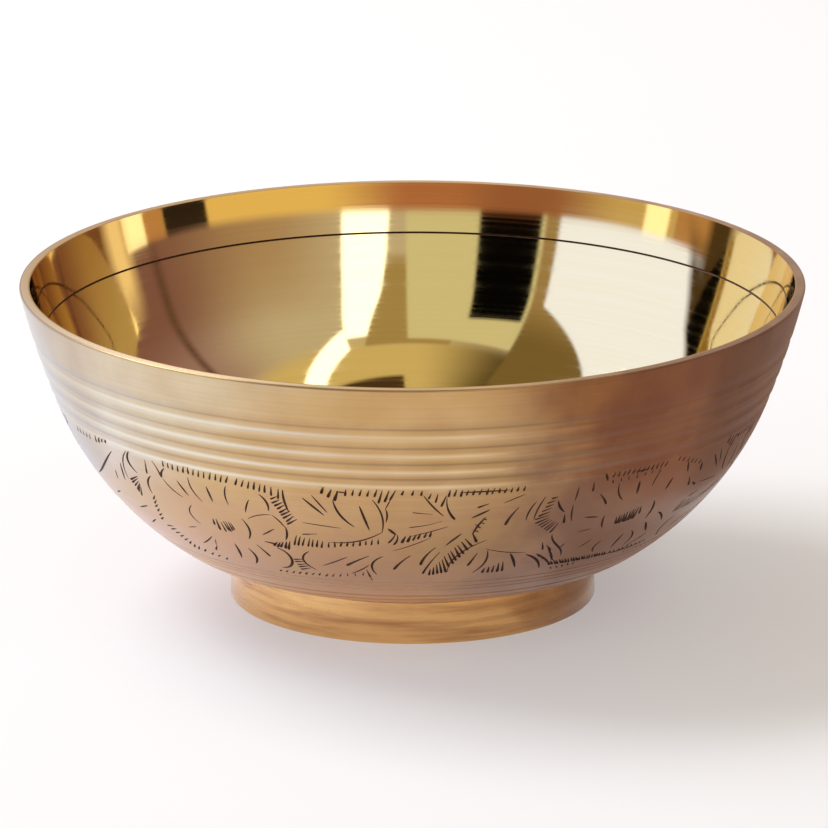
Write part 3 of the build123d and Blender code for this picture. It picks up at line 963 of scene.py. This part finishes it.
# %% Floor
floor_half = 5.0
floor_level = -0.02 * MM
floor_glow = 0.33
floor_mesh = bpy.data.meshes.new("floor")
floor_sides = ((-1, -1), (1, -1), (1, 1), (-1, 1))
floor_corners = [(x * floor_half, y * floor_half, floor_level) for x, y in floor_sides]
floor_mesh.from_pydata(floor_corners, [], [(0, 1, 2, 3)])
floor = bpy.data.objects.new("floor", floor_mesh)
bpy.context.collection.objects.link(floor)
white_floor, tree, output = new_material("white paper floor")
path = node(tree, "ShaderNodeLightPath").outputs
seen = node(tree, "ShaderNodeMath", {0: path["Is Camera Ray"], 1: path["Is Glossy Ray"]},
            operation="ADD").outputs[0]
seen = node(tree, "ShaderNodeMath", {0: seen, 1: path["Is Transmission Ray"]}, operation="ADD",
            use_clamp=True).outputs[0]
share = node(tree, "ShaderNodeMath", {0: seen, 1: floor_glow}, operation="MULTIPLY").outputs[0]
paper = node(tree, "ShaderNodeBsdfDiffuse", {"Color": linear("#f4f4f4")}).outputs[0]
glow = node(tree, "ShaderNodeEmission", {"Color": linear("#ffffff"), "Strength": 1.0}).outputs[0]
mixed = node(tree, "ShaderNodeMixShader", {0: share, 1: paper, 2: glow}).outputs[0]
tree.links.new(mixed, output.inputs["Surface"])
floor_mesh.materials.append(white_floor)
print("made", floor.name, "of", white_floor.name)

# %% The room
world = bpy.data.worlds.new("room")
bpy.context.scene.world = world
world.use_nodes = True
world.node_tree.nodes.clear()
tree = world.node_tree
towards = node(tree, "ShaderNodeTexCoord").outputs["Generated"]
east, north, up = node(tree, "ShaderNodeSeparateXYZ", {0: towards}).outputs
south = node(tree, "ShaderNodeMath", {0: north, 1: -1.0}, operation="MULTIPLY").outputs[0]
turned = node(tree, "ShaderNodeMath", {0: east, 1: south}, operation="ARCTAN2").outputs[0]
raised = node(tree, "ShaderNodeMath", {0: up}, operation="ARCSINE").outputs[0]
azimuth = node(tree, "ShaderNodeMath", {0: turned}, operation="DEGREES").outputs[0]
elevation = node(tree, "ShaderNodeMath", {0: raised}, operation="DEGREES").outputs[0]


def fade(value, start, end, first, last):
    """A smooth change from a first colour to a last one while a value runs from start to end."""
    share = node(tree, "ShaderNodeMapRange", {"Value": value, "From Min": start, "From Max": end},
                 interpolation_type="SMOOTHSTEP").outputs[0]
    return node(tree, "ShaderNodeMix", {"Factor": share, 6: first, 7: last}, data_type="RGBA").outputs[2]


def patch(under, colour, sides, heights, lean=0.0, tilt=0.0, soft=1.2):
    """Lays a colour over a part of the room, between two azimuths and two elevations, in degrees.

    The sides lean by some degrees for each degree up, the heights tilt for each degree across.
    """
    across = node(tree, "ShaderNodeMath", {0: elevation, 1: -lean, 2: azimuth},
                  operation="MULTIPLY_ADD").outputs[0]
    above = node(tree, "ShaderNodeMath", {0: azimuth, 1: -tilt, 2: elevation},
                 operation="MULTIPLY_ADD").outputs[0]
    share = 1.0
    for value, (low, high) in ((across, sides), (above, heights)):
        for start, end in ((low - soft / 2, low + soft / 2), (high + soft / 2, high - soft / 2)):
            inside = node(tree, "ShaderNodeMapRange", {"Value": value, "From Min": start,
                                                       "From Max": end}).outputs[0]
            share = node(tree, "ShaderNodeMath", {0: share, 1: inside}, operation="MULTIPLY").outputs[0]
    return node(tree, "ShaderNodeMix", {"Factor": share, 6: under, 7: colour}, data_type="RGBA").outputs[2]


def lit(hex_colour, strength):
    """A colour with its light multiplied by a strength."""
    return [c * strength for c in linear(hex_colour)[:3]] + [1.0]


# Pale walls, browner on the right and behind, with a bright stretch on the left.
pale_wall, brown_wall = linear("#c8c0b8"), linear("#bc9e80")
low_walls = fade(azimuth, 15, 48, pale_wall, linear("#b09680"))
low_walls = fade(azimuth, 45, 92, low_walls, linear("#845f60"))
high_walls = fade(azimuth, 50, 95, pale_wall, linear("#a28593"))
walls = fade(elevation, 14, 36, low_walls, high_walls)
walls = fade(azimuth, 120, 170, walls, brown_wall)
walls = fade(azimuth, -110, -125, walls, lit("#d8e0ff", 1.3))
walls = fade(azimuth, -140, -160, walls, linear("#dde3f0"))
walls = fade(azimuth, -160, -180, walls, brown_wall)

# A yellow ceiling, dark on the left and even overhead.
yellow_ceiling = linear("#d6c493")
ceiling = fade(azimuth, -48, 0, linear("#5e5033"), yellow_ceiling)
ceiling = fade(azimuth, -95, -150, ceiling, yellow_ceiling)
ceiling = fade(elevation, 64, 80, ceiling, linear("#c2b084"))
room = fade(elevation, 43, 50, walls, ceiling)

# Bright, dim and dark panels on the walls.
bright_panel = lit("#eef2ff", 2.6)
room = patch(room, bright_panel, (3.4, 18.4), (0, 44), lean=0.23)
room = patch(room, linear("#aa976c"), (-40, -3), (23, 48), lean=0.5)
room = patch(room, linear("#d9d8c0"), (-43, 2), (0, 46))
dim_wall = fade(elevation, 24, 42, linear("#a48e69"), linear("#7d6b46"))
room = patch(room, dim_wall, (-80, -43), (0, 60))
room = patch(room, linear("#060606"), (-41.5, -21.5), (17, 39), tilt=0.1)
room = patch(room, lit("#beccff", 2.0), (-125, -47.5), (-90, 4.4), tilt=-0.48)
room = patch(room, bright_panel, (28, 60), (27, 35), tilt=0.48)
room = patch(room, linear("#4c3826"), (5, 50), (61, 80))

# Low things all round, in warm browns and yellows, up to a horizon that is higher in front.
low_brown, low_glow = linear("#7a5136"), lit("#fff4d8", 1.5)
low_things = fade(azimuth, 0, 30, linear("#b57859"), linear("#f0cf86"))
low_things = fade(azimuth, -10, -30, low_things, linear("#9e6951"))
low_things = fade(azimuth, -42, -70, low_things, linear("#cfb680"))
low_things = fade(azimuth, -106, -122, low_things, linear("#d6d0ca"))
low_things = fade(azimuth, -150, -178, low_things, low_brown)
for colour, sides in ((linear("#c49262"), (82, 90)), (linear("#30261f"), (66, 82)), (low_glow, (90, 99)),
                      (low_brown, (99, 180)), (low_glow, (-85, -76)), (linear("#bc8e60"), (-110, -88))):
    low_things = patch(low_things, colour, sides, (-90, 90))
horizon_slope, horizon_from, horizon_to = 0.15, 0.134, 0.144
horizon = node(tree, "ShaderNodeMath", {0: north, 1: horizon_slope, 2: up},
               operation="MULTIPLY_ADD").outputs[0]
room = fade(horizon, horizon_from, horizon_to, low_things, room)

# Soft dark lines and a warm spot at the two sides.
dark_line = linear("#4e3d26")
room = patch(room, linear("#644a42"), (87.4, 90.2), (9, 45), soft=3)
room = patch(room, lit("#f6dcae", 1.1), (98.5, 107), (0, 11), soft=5)
room = patch(room, dark_line, (-113, -102.5), (-10, 9), soft=4)
room = patch(room, dark_line, (-100, -86), (6, 25), lean=-1.43, soft=4)
light = node(tree, "ShaderNodeBackground", {"Color": room, "Strength": 1.0}).outputs[0]
node(tree, "ShaderNodeOutputWorld", {"Surface": light})
print("room painted with", len(tree.nodes), "nodes")

# %% Key light and low panels
panel_level = 0.3 * MM


def softbox(name, azimuth, elevation, distance, width, height, radiance, colour):
    """An evenly bright panel that faces the bowl: azimuth 0 is in front, and positive to the right.

    Angles are in degrees, and the distance and the panel's size are in metres.
    """
    lamp = bpy.data.lights.new(name, "AREA")
    lamp.shape = "RECTANGLE"
    lamp.size, lamp.size_y = width, height
    lamp.energy = radiance * math.pi * width * height
    lamp.color = linear(colour)[:3]
    panel = bpy.data.objects.new(name, lamp)
    panel.matrix_world = (Matrix.Rotation(math.radians(azimuth), 4, "Z")
                          @ Matrix.Rotation(math.radians(90 - elevation), 4, "X")
                          @ Matrix.Translation((0, 0, distance)))
    panel.visible_camera = False
    bpy.context.collection.objects.link(panel)


def low_panel(name, radiance, colour, corners):
    """A glowing panel just above the floor, given by x, y corners in metres, that only reflections show."""
    mesh = bpy.data.meshes.new(name)
    mesh.from_pydata([(x, y, panel_level) for x, y in corners], [], [range(len(corners))])
    glow, tree, output = new_material(name)
    shine = node(tree, "ShaderNodeEmission", {"Color": linear(colour), "Strength": radiance}).outputs[0]
    tree.links.new(shine, output.inputs["Surface"])
    mesh.materials.append(glow)
    made = bpy.data.objects.new(name, mesh)
    made.visible_camera = made.visible_diffuse = made.visible_shadow = False
    bpy.context.collection.objects.link(made)


softbox("key from the left", azimuth=-115, elevation=51, distance=1.3, width=0.8, height=0.66, radiance=7.7,
        colour="#ffffff")
low_panel("low cool panel on the left", 2.0, "#c4d8ff", (
    (-0.076, -0.175), (-0.085, 0.01), (-0.6, 0.1), (-0.6, -0.6), (-0.2, -0.6), (-0.06, -0.175)))
low_panel("low pale panel behind on the left", 1.2, "#dbe8ff", (
    (-0.085, 0.01), (-0.6, 0.1), (-0.6, 0.5), (-0.3, 0.5), (-0.07, 0.065)))
low_panel("low brown panel on the right", 0.62, "#e6b8a0", (
    (0.06, -0.175), (0.2, -0.6), (4.0, -0.6), (4.0, -0.01), (0.072, -0.01), (0.062, -0.08)))
low_panel("low brown panel behind on the right", 0.36, "#e6b8a0", (
    (0.072, -0.01), (4.0, -0.01), (4.0, 2.5), (0.3, 2.5), (0.125, 0.5), (0.09, 0.22), (0.075, 0.05)))
low_panel("low brown panel under the right side", 0.36, "#ffe2d0", (
    (0.027, -0.03), (0.043, -0.048), (0.058, -0.027), (0.064, 0.006), (0.049, 0.041), (0.031, 0.026),
    (0.04, 0.004), (0.036, -0.017)))

# %% Camera
picture = 828
focal_pixels = 9442.0
camera_place = (0.0, -1.7343, 0.5436)
camera_pitch, camera_yaw, camera_roll = (math.radians(a) for a in (16.341, 0.0095, -0.10))
lens = bpy.data.cameras.new("camera")
lens.sensor_width = 36.0
lens.lens = focal_pixels / picture * lens.sensor_width
lens.clip_start, lens.clip_end = 0.1, 50.0
camera = bpy.data.objects.new("camera", lens)
camera.matrix_world = (Matrix.Translation(camera_place) @ Matrix.Rotation(-camera_yaw, 4, "Z")
                       @ Matrix.Rotation(math.pi / 2 - camera_pitch, 4, "X")
                       @ Matrix.Rotation(camera_roll, 4, "Z"))
bpy.context.collection.objects.link(camera)
bpy.context.scene.camera = camera
bpy.context.scene.view_settings.view_transform = "Standard"
print(f"lens {lens.lens:.1f} mm")

# %% [markdown]
# ## Hand over
# Each piece stands for its solid and rides on the one body.

# %% Pieces and solids
for piece, solid, slot in ((bowl, "bowl_shell", "turned_brass"), (foot, "foot_ring", "foot_brass"),
                           (seam, "solder_seam", "brazing_solder")):
    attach(piece, "root")
    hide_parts(solid)
